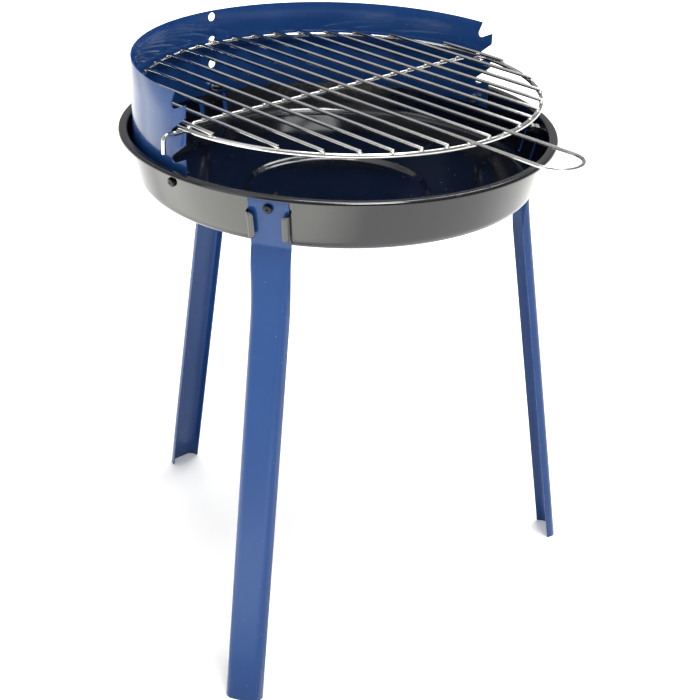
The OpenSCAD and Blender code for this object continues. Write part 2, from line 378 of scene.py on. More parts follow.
class Wiring:
    """Adds and links the nodes of one node tree."""

    def __init__(self, tree: bpy.types.NodeTree) -> None:
        """Starts on an empty tree."""
        self.tree = tree
        tree.nodes.clear()

    def feed(self, socket: Socket, value: object) -> None:
        """Links an output to a socket, or sets a plain value on it."""
        if isinstance(value, Socket):
            self.tree.links.new(value, socket)
        else:
            socket.default_value = value

    def fill(self, node: bpy.types.Node, **inputs: object) -> None:
        """Fills in a node's sockets, by their names with spaces as underscores."""
        for key, value in inputs.items():
            self.feed(node.inputs[key.replace("_", " ")], value)

    def add(self, kind: str, *ordered: object, settings: Optional[dict[str, object]] = None,
            **inputs: object) -> bpy.types.Node:
        """Adds a node and fills in its sockets.

        Args:
            kind: Blender's name for the node, without its prefix ShaderNode.
            *ordered: A value or an output for each of the first sockets, in their order.
            settings: Values of the node's own settings.
            **inputs: A value or an output for each socket, by name.

        Returns:
            The new node.
        """
        node = self.tree.nodes.new("ShaderNode" + kind)
        for key, value in (settings or {}).items():
            setattr(node, key, value)
        for socket, value in zip(node.inputs, ordered):
            self.feed(socket, value)
        self.fill(node, **inputs)
        return node

    def sum(self, operation: str, first: object, second: object, held: bool = False) -> Socket:
        """Does one sum on two numbers or outputs, and may hold the result between 0 and 1."""
        settings = {"operation": operation, "use_clamp": held}
        return self.add("Math", first, second, settings=settings).outputs[0]

    def vectors(self, operation: str, *values: Socket) -> bpy.types.Node:
        """Does one sum on vectors."""
        return self.add("VectorMath", *values, settings={"operation": operation})

    def spread(self, value: Socket, band: Band) -> Socket:
        """Moves a value from a band's first two numbers to its last two, and holds it there."""
        return self.add("MapRange", value, *band).outputs["Result"]

    def noise(self, place: Socket, scale: object, **inputs: float) -> Socket:
        """Adds a cloudy noise and gives its strength."""
        return self.add("TexNoise", Vector=place, Scale=scale, **inputs).outputs["Fac"]

    def tint(self, share: Socket, first: object, second: object) -> Socket:
        """Mixes two colours.

        Args:
            share: Share of the second colour.
            first: A colour or an output.
            second: A colour or an output.

        Returns:
            The mixed colour's output.
        """
        node = self.add("Mix", settings={"data_type": "RGBA"}, Factor=share)
        colours = [socket for socket in node.inputs if socket.type == "RGBA"]
        for socket, colour in zip(colours, (first, second)):
            self.feed(socket, (*colour, 1.0) if isinstance(colour, tuple) else colour)
        return next(socket for socket in node.outputs if socket.type == "RGBA")


class Effect(Enum):
    """Surface effects that several finishes share, each a shader node group."""

    PEEL = "orange_peel"
    SMUDGE = "smudges"
    WEAR = "edge_wear"
    DUST = "dust_specks"
    DRAWN = "drawn_lines"


NUMBERS = {Effect.PEEL: ("Scale", "Ripple"), Effect.SMUDGE: ("Scale",), Effect.WEAR: ("Radius", "Breaks"),
           Effect.DUST: ("Scale", "Amount"), Effect.DRAWN: ("Across", "Along")}


@dataclass
class EffectShelf:
    """Builds each shared effect once and hands it out."""

    ripple_share: float = 1.6
    cloud_band: Band = (0.42, 0.72, 0.0, 1.0)
    bent_band: Band = (0.97, 0.80, 0.0, 1.0)
    broken_band: Band = (0.44, 0.60, 0.0, 1.0)
    speck_band: Band = (0.22, 0.10, 0.0, 1.0)
    line_band: Band = (0.35, 0.70, 0.0, 1.0)
    built: dict[Effect, bpy.types.NodeTree] = field(default_factory=dict)

    def get(self, effect: Effect) -> bpy.types.NodeTree:
        """Gives an effect's node group, and builds it at the first call.

        Args:
            effect: The effect that is wanted.

        Returns:
            The node group, with the place and the effect's own numbers as inputs.
        """
        if effect not in self.built:
            tree = bpy.data.node_groups.new(effect.value, "ShaderNodeTree")
            wiring = Wiring(tree)
            tree.interface.new_socket("Place", in_out="INPUT", socket_type="NodeSocketVector")
            for name in NUMBERS[effect]:
                tree.interface.new_socket(name, in_out="INPUT", socket_type="NodeSocketFloat")
            tree.interface.new_socket("Result", in_out="OUTPUT", socket_type="NodeSocketFloat")
            entry = list(tree.nodes.new("NodeGroupInput").outputs)[:len(NUMBERS[effect]) + 1]
            result = getattr(self, effect.value)(wiring, *entry)
            wiring.feed(tree.nodes.new("NodeGroupOutput").inputs["Result"], result)
            self.built[effect] = tree
        return self.built[effect]

    def orange_peel(self, wiring: Wiring, place: Socket, scale: Socket, ripple: Socket) -> Socket:
        """Soft unevenness of a sprayed or fired coat, as a height."""
        wide = wiring.sum("MULTIPLY", wiring.noise(place, ripple, Detail=1.0), self.ripple_share)
        return wiring.sum("ADD", wiring.noise(place, scale, Detail=2.0), wide)

    def smudges(self, wiring: Wiring, place: Socket, scale: Socket) -> Socket:
        """Faint patches left by handling, as a mask."""
        cloud = wiring.noise(place, scale, Detail=6.0, Roughness=0.62, Distortion=0.6)
        return wiring.spread(cloud, self.cloud_band)

    def edge_wear(self, wiring: Wiring, place: Socket, radius: Socket, breaks: Socket) -> Socket:
        """Broken line of wear along sharp edges, as a mask."""
        edge = wiring.add("Bevel", settings={"samples": 4}, Radius=radius).outputs["Normal"]
        face = wiring.add("NewGeometry").outputs["Normal"]
        same = wiring.vectors("DOT_PRODUCT", edge, face).outputs["Value"]
        broken = wiring.spread(wiring.noise(place, breaks, Detail=4.0), self.broken_band)
        return wiring.sum("MULTIPLY", wiring.spread(same, self.bent_band), broken, held=True)

    def dust_specks(self, wiring: Wiring, place: Socket, scale: Socket, amount: Socket) -> Socket:
        """Sparse specks of dust, as a mask."""
        cells = wiring.add("TexVoronoi", Vector=place, Scale=scale).outputs
        chance = wiring.add("SeparateColor", Color=cells["Color"]).outputs["Red"]
        kept = wiring.sum("LESS_THAN", chance, amount)
        return wiring.sum("MULTIPLY", wiring.spread(cells["Distance"], self.speck_band), kept, held=True)

    def drawn_lines(self, wiring: Wiring, place: Socket, across: Socket, run: Socket) -> Socket:
        """Fine lines that drawing through a die leaves along a wire, as a mask."""
        stretch = wiring.add("CombineXYZ", across, run, across).outputs["Vector"]
        grid = wiring.vectors("MULTIPLY", place, stretch).outputs["Vector"]
        return wiring.spread(wiring.noise(grid, 1.0, Detail=3.0), self.line_band)


class Bench:
    """One material in the making: its surface, its place on the piece and the shared effects."""

    def __init__(self, name: str, shelf: EffectShelf) -> None:
        """Starts an empty material.

        Args:
            name: Name of the material.
            shelf: Where the shared effects are kept.
        """
        self.material = bpy.data.materials.new(name)
        self.material.use_nodes = True
        self.shelf = shelf
        self.wiring = Wiring(self.material.node_tree)
        self.surface = self.wiring.add("BsdfPrincipled")
        self.wiring.add("OutputMaterial", Surface=self.surface.outputs["BSDF"])
        self.place = self.wiring.add("TexCoord").outputs["Object"]

    def effect(self, effect: Effect, **numbers: float) -> Socket:
        """Places a shared effect, with values for its own inputs, and gives its output."""
        settings = {"node_tree": self.shelf.get(effect)}
        return self.wiring.add("Group", settings=settings, Place=self.place, **numbers).outputs[0]

    def set(self, **inputs: object) -> None:
        """Fills in the surface's sockets, by their names with spaces as underscores."""
        self.wiring.fill(self.surface, **inputs)

    def bump(self, height: Socket, strength: float, distance: float) -> None:
        """Gives the surface a fine relief, with its depth in metres."""
        node = self.wiring.add("Bump", Strength=strength, Distance=distance, Height=height)
        self.set(Normal=node.outputs["Normal"])


@dataclass(frozen=True)
class Finish:
    """What every finish has: a name and a surface."""

    name: str

    def build(self, shelf: EffectShelf) -> bpy.types.Material:
        """Makes the finish's material.

        Args:
            shelf: Where the shared effects are kept.

        Returns:
            The material.
        """
        bench = Bench(self.name, shelf)
        self.wire(bench)
        return bench.material

    def wire(self, bench: Bench) -> None:
        """Wires the surface, which each finish does in its own way."""
        raise NotImplementedError


@dataclass(frozen=True)
class Coat(Finish):
    """Fired enamel or sprayed paint on sheet steel, with faint patches, worn edges and a little dust."""

    colour: Colour
    deep: Colour
    bare: Colour
    speck: Colour
    gloss: float
    dull: float
    ior: float
    patch: float
    haze: float
    wear: float
    breaks: float
    dust: float
    dust_haze: float
    grain: float
    ripple: float
    relief: float
    depth: float
    dust_amount: float = 0.03

    def wire(self, bench: Bench) -> None:
        """Wires the coat.

        Args:
            bench: The material in the making.
        """
        wiring = bench.wiring
        base = wiring.tint(bench.effect(Effect.SMUDGE, Scale=self.patch), self.colour, self.deep)
        worn = wiring.tint(bench.effect(Effect.WEAR, Radius=self.wear, Breaks=self.breaks), base, self.bare)
        specks = bench.effect(Effect.DUST, Scale=self.dust, Amount=self.dust_amount)
        hazy = wiring.spread(bench.effect(Effect.SMUDGE, Scale=self.haze), (0.0, 1.0, self.gloss, self.dull))
        rough = wiring.sum("ADD", hazy, wiring.sum("MULTIPLY", specks, self.dust_haze))
        bench.set(Base_Color=wiring.tint(specks, worn, self.speck), Roughness=rough, IOR=self.ior)
        bench.bump(bench.effect(Effect.PEEL, Scale=self.grain, Ripple=self.ripple), self.relief, self.depth)


ENAMEL = Coat("gloss_enamel", (0.0022, 0.0026, 0.0050), (0.0014, 0.0018, 0.0040), (0.055, 0.056, 0.06),
              (0.05, 0.05, 0.05), gloss=0.08, dull=0.16, ior=1.65, patch=9.0, haze=26.0, wear=0.5 * MM,
              breaks=160.0, dust=330.0, dust_haze=0.4, grain=420.0, ripple=70.0, relief=0.10, depth=0.12 * MM)
BLUE_PAINT = Coat("blue_sheet_paint", (0.013, 0.058, 0.205), (0.011, 0.050, 0.185), (0.20, 0.24, 0.34),
                  (0.10, 0.15, 0.30), gloss=0.12, dull=0.22, ior=1.33, patch=14.0, haze=30.0, wear=0.35 * MM,
                  breaks=260.0, dust=380.0, dust_haze=0.0, grain=900.0, ripple=130.0, relief=0.16,
                  depth=0.10 * MM)


@dataclass(frozen=True)
class Plate(Finish):
    """Plated or blackened metal, from bright chrome to dull steel."""

    name: str = "bright_chrome"
    colour: Colour = (0.66, 0.66, 0.65)
    deep: Colour = (0.52, 0.52, 0.52)
    bare: Colour = (0.85, 0.85, 0.85)
    gloss: float = 0.07
    dull: float = 0.20
    metal: float = 1.0
    relief: float = 0.05
    depth: float = 0.05 * MM
    wear: float = 0.2 * MM
    breaks: float = 500.0
    patch: float = 60.0
    across: float = 1500.0
    run: float = 20.0

    def wire(self, bench: Bench) -> None:
        """Wires the metal.

        Args:
            bench: The material in the making.
        """
        wiring = bench.wiring
        lines = bench.effect(Effect.DRAWN, Across=self.across, Along=self.run)
        base = wiring.tint(bench.effect(Effect.SMUDGE, Scale=self.patch), self.colour, self.deep)
        edges = bench.effect(Effect.WEAR, Radius=self.wear, Breaks=self.breaks)
        bench.set(Base_Color=wiring.tint(edges, base, self.bare), Metallic=self.metal,
                  Roughness=wiring.spread(lines, (0.0, 1.0, self.gloss, self.dull)))
        bench.bump(lines, self.relief, self.depth)


CHROME = Plate()
WELD = Plate("weld_metal", (0.62, 0.61, 0.59), (0.34, 0.33, 0.33), gloss=0.14, dull=0.34, relief=0.3,
             patch=700.0)
DARK_STEEL = Plate("blackened_steel", (0.022, 0.022, 0.025), (0.012, 0.012, 0.014), (0.35, 0.35, 0.36),
                   gloss=0.26, dull=0.46, metal=0.7, relief=0.1, wear=0.15 * MM, patch=500.0)
ZINC = Plate("zinc_plate", (0.58, 0.59, 0.58), (0.42, 0.43, 0.45), gloss=0.20, dull=0.40, relief=0.12,
             patch=400.0)


@dataclass(frozen=True)
class PaleFloor(Finish):
    """Pale studio floor, lit from below, and more strongly so beside and behind the grill and far from it."""

    name: str = "pale_floor"
    colour: Colour = (0.93, 0.93, 0.93)
    deep: Colour = (0.90, 0.90, 0.905)
    glow: Colour = (0.25, 0.25, 0.25)
    bright: Colour = (2.05, 2.03, 1.80)
    patch: float = 2.0
    rough: float = 0.6
    shine: float = 0.2
    left: Band = (-0.25, -0.45, 0.0, 1.0)
    left_end: Band = (-0.95, -0.60, 0.15, 1.0)
    right: Band = (0.40, 0.80, 0.0, 0.3)
    front_end: Band = (-1.8, -0.6, 0.0, 1.0)
    back: Band = (0.40, 1.60, 0.0, 0.4)
    far: Band = (1.8, 3.6, 0.0, 0.4)

    def wire(self, bench: Bench) -> None:
        """Wires the floor.

        Args:
            bench: The material in the making.
        """
        wiring = bench.wiring
        apart = wiring.add("SeparateXYZ", bench.place).outputs
        bands = (self.left, self.left_end, self.right)
        left, left_end, right = (wiring.spread(apart["X"], band) for band in bands)
        sides = wiring.sum("ADD", wiring.sum("MULTIPLY", left, left_end), right)
        beside = wiring.sum("MULTIPLY", sides, wiring.spread(apart["Y"], self.front_end))
        away = wiring.vectors("LENGTH", bench.place).outputs["Value"]
        behind = wiring.sum("MAXIMUM", wiring.spread(apart["Y"], self.back), wiring.spread(away, self.far))
        light = wiring.tint(wiring.sum("ADD", beside, behind), self.glow, self.bright)
        cloud = bench.effect(Effect.SMUDGE, Scale=self.patch)
        bench.set(Base_Color=wiring.tint(cloud, self.colour, self.deep), Emission_Color=light,
                  Emission_Strength=1.0, Roughness=self.rough, Specular_IOR_Level=self.shine)


class Store:
    """Keeps the finishes and hands over finished pieces to the frame."""

    def __init__(self) -> None:
        """Starts with no finish built."""
        self.shelf = EffectShelf()
        self.made: dict[str, bpy.types.Material] = {}

    def dress(self, piece: Piece, finish: Finish) -> None:
        """Gives a piece one finish, which is built at its first use.

        Args:
            piece: The piece to dress.
            finish: Its finish.
        """
        if finish.name not in self.made:
            self.made[finish.name] = finish.build(self.shelf)
        piece.data.materials.clear()
        piece.data.materials.append(self.made[finish.name])

    def hand_over(self, piece: Piece, finish: Finish, body: Body, slot: Slot, *nodes: str) -> None:
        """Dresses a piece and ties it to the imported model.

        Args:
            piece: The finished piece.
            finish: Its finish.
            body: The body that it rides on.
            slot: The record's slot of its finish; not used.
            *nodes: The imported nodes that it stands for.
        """
        self.dress(piece, finish)
        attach(piece, body.value)
        if nodes:
            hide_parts(*nodes)
        log.info("%s: %d faces, rides on %s", piece.name, len(piece.data.polygons), body.value)


@dataclass
class FireBowl:
    """The pressed bowl with its rolled lip, stepped floor and lanced tabs.

    The tabs' top is one of the rows of points down the wall, and the windows end at whole steps of the spin.
    """

    rim_radius: float = 180.0 * MM
    rim_height: float = 425.0 * MM
    sheet: float = 0.9 * MM
    lip_radius: float = 2.5 * MM
    lip_flat: float = 3.0 * MM
    lip_curl: float = 5.0
    lip_steps: int = 14
    tilt: float = 13.0
    wall_drop: float = 35.0 * MM
    rows: tuple[float, ...] = (4.0, 8.5, 13.0, 17.0, 21.0, 25.0, 29.0, 32.5)
    corner_radius: float = 10.0 * MM
    corner_steps: int = 12
    floor_slope: float = 8.0
    floor_shares: tuple[float, ...] = (0.06, 0.3, 0.55, 0.8)
    floor_end: float = 0.94
    step_at: float = 80.0 * MM
    step_radius: float = 8.0 * MM
    step_tilt: float = 40.0
    step_steps: int = 8
    sides: int = 384
    window_near: float = 3.75
    window_far: float = 5.625
    tab_top: float = 13.0 * MM
    tab_stand: float = 5.5 * MM
    tab_free: float = 11.0 * MM
    fold_round: float = 1.5 * MM
    free_round: float = 3.0 * MM
    edge_break: float = 0.15 * MM
    edge_corner: float = 50.0
    height_slack: float = 0.2 * MM
    angle_slack: float = 0.1

    def wall_point(self, down: float, out: float = 0.0) -> Flat:
        """Point of the wall's middle line, or beside it.

        Args:
            down: Distance down the slope of the wall from the lip.
            out: Distance outwards from the middle of the sheet.

        Returns:
            Radius and height.
        """
        sine, cosine = sin(radians(self.tilt)), cos(radians(self.tilt))
        mid = self.lip_radius - self.sheet / 2.0
        bend = (self.rim_radius - self.lip_radius - self.lip_flat, self.rim_height - self.lip_radius)
        start = (bend[0] - mid * cosine, bend[1] + mid * sine)
        return start[0] - down * sine + out * cosine, start[1] - down * cosine - out * sine

    def wall_frame(self, degrees: float, down: float) -> Matrix:
        """Frame on the outside of the wall: X points out of it, Y runs round it and Z runs up it.

        Args:
            degrees: Direction round the bowl.
            down: Distance down the wall from the lip.

        Returns:
            The frame.
        """
        radius, height = self.wall_point(down, self.sheet / 2.0)
        turn = Matrix.Translation(AXIS) @ turned(degrees)
        return turn @ Matrix.Translation((radius, 0.0, height)) @ turned(self.tilt, "Y")

    def wall_length(self) -> float:
        """Length of the straight wall, down its slope."""
        return self.wall_drop / cos(radians(self.tilt))

    def profile(self) -> list[Flat]:
        """Middle line of the sheet, from the lip's free edge to the middle of the floor.

        Returns:
            Radius and height of each point.
        """
        mid, bend = self.lip_radius - self.sheet / 2.0, self.step_radius
        outer = (self.rim_radius - self.lip_radius, self.rim_height - self.lip_radius)
        line = arc(outer, mid, -self.lip_curl, 90.0, self.lip_steps)
        line += arc((outer[0] - self.lip_flat, outer[1]), mid, 90.0, 180.0 - self.tilt, self.lip_steps)
        line += [self.wall_point(row * MM) for row in self.rows]
        corner = self.wall_point(self.wall_length(), -self.corner_radius)
        line += arc(corner, self.corner_radius, -self.tilt, self.floor_slope - 90.0, self.corner_steps)
        slope, steep = radians(self.floor_slope), radians(self.step_tilt)
        floor = line[-1]
        step = (self.step_at, floor[1] - (floor[0] - self.step_at) * math.tan(slope))
        line += along(floor, step, [*self.floor_shares, self.floor_end])
        top = (step[0] + bend * sin(slope), step[1] - bend * cos(slope))
        line += arc(top, bend, 90.0 + self.floor_slope, 90.0 + self.step_tilt, self.step_steps)
        low = (top[0] - 2.0 * bend * sin(steep), top[1] + 2.0 * bend * cos(steep))
        line += arc(low, bend, self.step_tilt - 90.0, -90.0, self.step_steps)[1:]
        dish = line[-1]
        return line + along(dish, (0.0, dish[1]), [*self.floor_shares, 1.0])

    def build(self) -> Piece:
        """Spins the bowl, lances its tabs and gives the sheet its thickness.

        Returns:
            The bowl.
        """
        bowl = trace("bowl_shell", [AXIS + Vector((r, 0.0, z)) for r, z in self.profile()])
        spin_round(bowl, AXIS, 360.0, self.sides)
        edit(bowl)
        for station in LEG_STATIONS:
            self.lance(station)
        close_edit()
        thicken_sheet(bowl, self.sheet)
        soften(bowl, self.edge_break, corner=self.edge_corner)
        return bowl

    def lance(self, station: Station) -> None:
        """Cuts and folds out the two tabs that hold one leg.

        Args:
            station: Place of the leg.
        """
        high = self.wall_point(self.tab_top)[1] + self.height_slack
        low = self.wall_point(self.wall_length())[1] - self.height_slack
        inside = self.rim_radius - self.wall_drop
        frame_here = self.wall_frame(station.value, 0.0)
        to_wall = frame_here.inverted()
        outwards, sideways = frame_here.col[0].xyz, frame_here.col[1].xyz

        def offset(point: Vector) -> float:
            """Angle from the leg's middle, in degrees."""
            flat = point - AXIS
            return (math.degrees(math.atan2(flat.y, flat.x)) - station.value + 180.0) % 360.0 - 180.0

        def in_rows(point: Vector) -> bool:
            """Whether a point lies on the wall, between the tab's top and bottom."""
            return low <= point.z <= high and (point - AXIS).xy.length > inside

        def stands_off(point: Vector) -> bool:
            """Whether a point lies on a tab, off the wall."""
            return (to_wall @ point).x > self.tab_stand / 2.0

        pick(Pick.FACE, lambda face: in_rows(face.calc_center_median())
             and self.window_near < abs(offset(face.calc_center_median())) < self.window_far)
        bpy.ops.mesh.delete(type="FACE")
        fold = self.wall_point(self.wall_length() / 2.0)[0] * sin(radians(self.window_far))
        middle = (fold + self.tab_free) / 2.0
        for side in (-1.0, 1.0):
            pick(Pick.EDGE, lambda edge: all(
                in_rows(v.co) and abs(offset(v.co) - side * self.window_far) < self.angle_slack
                for v in edge.verts))
            extrude(outwards * self.tab_stand)
            extrude(sideways * (side * (self.tab_free - fold)))
            pick(Pick.EDGE, lambda edge: all(
                stands_off(v.co) and (to_wall @ v.co).y * side > middle
                for v in edge.verts) and abs(edge.verts[0].co.z - edge.verts[1].co.z) > MM)
            bpy.ops.mesh.bevel(offset=self.fold_round, segments=4, affect="EDGES")
            pick(Pick.VERT, lambda v: stands_off(v.co) and len(v.link_edges) == 2
                 and (to_wall @ v.co).y * side < middle)
            bpy.ops.mesh.bevel(offset=self.free_round, segments=5, affect="VERTICES")


@dataclass
class WindShield:
    """The curved sheet round the back, with its notches and rear holes."""

    sheet: float = 0.8 * MM
    radius: float = 167.813 * MM
    bottom: float = 408.116 * MM
    top: float = 482.95 * MM
    front: float = 13.5 * MM
    rows: int = 4
    steps: int = 200
    notch_radius: float = 3.0 * MM
    notch_middle: float = 451.65 * MM
    notch_steps: int = 16
    pitch: float = 21.0 * MM
    draw: float = 25.0
    mouth: float = 38.0
    top_mouth: float = 67.0
    hole_radius: float = 3.75 * MM
    hole_middle: float = 456.45 * MM
    hole_sides: int = 48
    punch_past: float = 12.0 * MM
    edge_break: float = 0.2 * MM

    def build(self) -> Piece:
        """Spins the sheet and cuts its notches and holes.

        Returns:
            The shield.
        """
        past = math.asin(self.front / self.radius)
        start = AXIS + Vector((-self.radius * cos(past), -self.front, 0.0))
        heights = [self.bottom + (self.top - self.bottom) * i / self.rows for i in range(self.rows + 1)]
        shield = trace("shield_sheet", [start + Vector((0.0, 0.0, z)) for z in heights])
        spin_round(shield, AXIS, 180.0 + 2.0 * math.degrees(past), self.steps)
        thicken_sheet(shield, self.sheet)
        for level in (-1, 0, 1):
            mouth = self.top_mouth if level == 1 else self.mouth
            carve(shield, self.notch_tool(self.notch_middle + level * self.pitch, mouth))
            carve(shield, self.hole_tool(self.hole_middle + level * self.pitch))
        soften(shield, self.edge_break)
        return shield

    def notch_tool(self, height: float, mouth: float) -> Piece:
        """Makes the punch for one pair of notches.

        Args:
            height: Height of the middle of the notch's closed end.
            mouth: Slope of the notch's upper edge, in degrees.

        Returns:
            The punch, right across both ends of the shield.
        """
        outline = arc((0.0, 0.0), self.notch_radius, 270.0 - self.draw, 450.0 - mouth, self.notch_steps)
        run, width = 2.0 * self.front + self.punch_past, self.radius + self.punch_past
        for (y, z), slope in ((outline[-1], radians(mouth)), (outline[0], radians(self.draw))):
            outline.append((y - run * cos(slope), z + run * sin(slope)))
        corners = [AXIS + Vector((-width, y, height + z)) for y, z in outline]
        return prism("notch_punch", corners, (2.0 * width, 0.0, 0.0))

    def hole_tool(self, height: float) -> Piece:
        """Makes the punch for one rear hole, at the height of its middle."""
        start, ring = self.radius - self.punch_past, polygon(self.hole_radius, self.hole_sides)
        return prism("hole_punch", [AXIS + Vector((x, start, height + z)) for x, z in ring],
                     (0.0, 2.0 * self.punch_past, 0.0))


@dataclass
class Leg:
    """A splayed leg: a flat plate on the bowl's wall that turns into a shallow channel."""

    sheet: float = 1.0 * MM
    bend: Flat = (163.385 * MM, 378.358 * MM)
    splay: float = 9.47043
    tilt: float = 13.0
    plate_half: float = 16.0 * MM
    plate_run: float = 43.5109 * MM
    plate_round: float = 2.5 * MM
    plate_rows: int = 5
    top_share: float = 0.8
    web_half: float = 8.0 * MM
    fold_radius: float = 6.5 * MM
    fold_angle: float = 75.0
    fold_steps: int = 9
    flange: float = 4.0 * MM
    straight_rows: int = 6
    blend: float = 60.0 * MM
    blend_shares: tuple[float, ...] = (1.0, 0.85, 0.7, 0.56, 0.43, 0.32, 0.22, 0.13, 0.06, 0.0)
    flattest: float = 0.002
    bend_radius: float = 8.0 * MM
    bend_steps: int = 6
    below: float = 12.0 * MM
    edge_break: float = 0.25 * MM

    def section(self) -> list[Flat]:
        """Middle line of the channel, from one flange to the other.

        Returns:
            Distance inwards and distance across, for each point.
        """
        bend = self.fold_radius
        half = arc((-bend, self.web_half), bend, 0.0, self.fold_angle, self.fold_steps)
        lean, tip = radians(self.fold_angle), half[-1]
        end = (tip[0] - self.flange * sin(lean), tip[1] + self.flange * cos(lean))
        half += along(tip, end, (0.5, 1.0))
        web = [(0.0, self.web_half * s) for s in (-0.5, 0.0, 0.5)]
        return [(x, -y) for x, y in reversed(half)] + web + half

    def build(self) -> Piece:
        """Draws the channel, extrudes it up the leg, bends the plate and cuts the foot level.

        Returns:
            The leg at its left place.
        """
        length = self.bend[1] / cos(radians(self.splay)) + self.below
        section = self.section()
        leg = trace("leg_channel_left", [Vector((x, y, -length)) for x, y in section])
        edit(leg)
        self.raise_channel(length, max(y for _, y in section))
        self.bend_plate()
        close_outwards()
        thicken_sheet(leg, self.sheet)
        place = Matrix.Translation(AXIS) @ turned(Station.LEG_LEFT.value)
        place = place @ Matrix.Translation((self.bend[0], 0.0, self.bend[1]))
        settle(leg, place @ turned(-self.splay, "Y"))
        edit(leg)
        bpy.ops.mesh.bisect(plane_co=ORIGIN, plane_no=UPWARDS, use_fill=True, clear_inner=True)
        close_edit()
        soften(leg, self.edge_break)
        return leg

    def raise_channel(self, length: float, widest: float) -> None:
        """Extrudes the channel up to the bend, and flattens and widens it into the plate on the way.

        Args:
            length: Length of the channel from its drawn section to the bend.
            widest: Half of the section's width.
        """
        straight = (length - self.blend) / self.straight_rows
        heights = [-length + straight * i for i in range(1, self.straight_rows)]
        before, depth, width = -length, 1.0, 1.0
        for height in heights + [-self.blend * share for share in self.blend_shares]:
            extrude((0.0, 0.0, height - before))
            new_depth = max(self.flattest, ease(-height / self.blend))
            new_width = 1.0 + (self.plate_half / widest - 1.0) * (1.0 - new_depth)
            bpy.ops.transform.resize(value=(new_depth / depth, new_width / width, 1.0),
                                     center_override=(0.0, 0.0, height))
            before, depth, width = height, new_depth, new_width

    def bend_plate(self) -> None:
        """Extrudes the plate round the bend and up the wall, and rounds its top corners."""
        kink = self.splay + self.tilt
        hop = self.bend_radius * radians(kink) / self.bend_steps
        rest = (self.plate_run - hop * self.bend_steps / 2.0) / self.plate_rows
        moves = [(hop, kink * (i + 0.5) / self.bend_steps) for i in range(self.bend_steps)]
        for run, lean in moves + [(rest, kink)] * self.plate_rows:
            extrude((run * sin(radians(lean)), 0.0, run * cos(radians(lean))))
        pick(Pick.VERT, lambda v: v.co.z > self.top_share * self.plate_run and len(v.link_edges) == 2)
        bpy.ops.mesh.bevel(offset=self.plate_round, segments=5, affect="VERTICES")

    def build_all(self) -> dict[Station, Piece]:
        """Makes one leg and copies it to the other two places.

        Returns:
            The leg at each place.
        """
        first = self.build()
        legs = {Station.LEG_LEFT: first}
        for station in (Station.LEG_RIGHT, Station.LEG_BACK):
            legs[station] = copy_of(first, station.name.lower().replace("leg", "leg_channel"))
            turn = turned(station.value - Station.LEG_LEFT.value)
            settle(legs[station], Matrix.Translation(AXIS) @ turn @ Matrix.Translation(-AXIS))
        return legs


